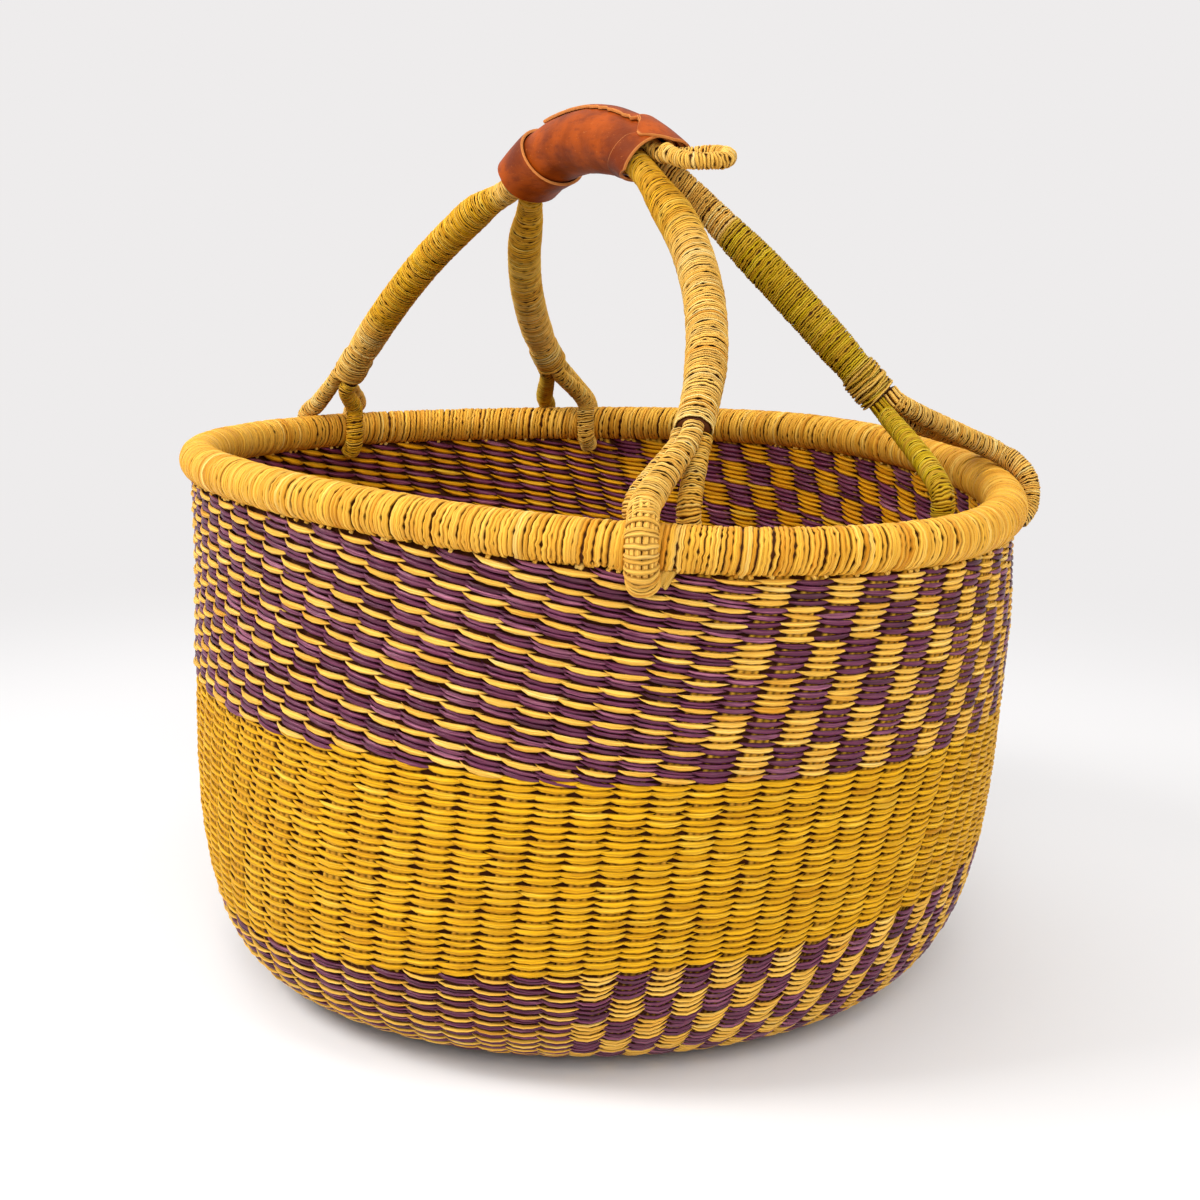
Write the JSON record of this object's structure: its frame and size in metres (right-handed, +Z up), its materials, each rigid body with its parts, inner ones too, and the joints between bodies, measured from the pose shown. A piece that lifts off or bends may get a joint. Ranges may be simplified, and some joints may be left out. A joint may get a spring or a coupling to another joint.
{
  "type": "market basket",
  "caption": "Round-bottomed woven straw basket with a wrapped oval rim and two wrapped hoops that meet in a leather grip and fork into stems at the rim.",
  "frame": {"origin": "centre of the flat round underside, on the ground", "axes": "+Z up; +X along the long axis of the oval rim, towards the end the hanging loop points to; +Y across"},
  "size_m": [0.447, 0.3499, 0.3854],
  "materials": {
    "natural_straw": "undyed dried grass straw, satin, fine lengthwise grain",
    "plum_and_natural_straw": "grass straw dyed plum, twined with undyed straw, satin",
    "mustard_and_natural_straw": "grass straw dyed mustard, twined with undyed straw, satin",
    "mustard_straw": "grass straw dyed mustard, satin",
    "olive_straw": "grass straw dyed olive yellow, satin",
    "grip_leather": "smooth reddish brown leather with small scuffs, satin"
  },
  "bodies": {
    "root": {"base_weave": "natural_straw", "lower_band": "plum_and_natural_straw", "middle_band": "mustard_and_natural_straw", "upper_band": "plum_and_natural_straw", "rim_roll": "natural_straw", "hoop_front": "natural_straw", "hoop_back": "olive_straw", "fork_collar_left": "natural_straw", "fork_collar_back": "natural_straw", "fork_collar_right": "olive_straw", "stem_left_inner": "mustard_straw", "stem_left_outer_near": "natural_straw", "stem_left_outer_far": "natural_straw", "stem_back_inner": "natural_straw", "stem_back_outer_near": "olive_straw", "stem_back_outer_far": "natural_straw", "stem_front_outer": "natural_straw", "stem_front_inner_near": "natural_straw", "stem_front_inner_far": "natural_straw", "stem_right_inner": "olive_straw", "stem_right_outer_near": "natural_straw", "stem_right_outer_far": "natural_straw", "grip_sleeve": "grip_leather", "grip_cuff_left": "grip_leather", "grip_cuff_right": "grip_leather", "grip_seam_lap": "grip_leather", "hanging_loop": "natural_straw", "loop_tail": "natural_straw"}
  },
  "joints": []
}
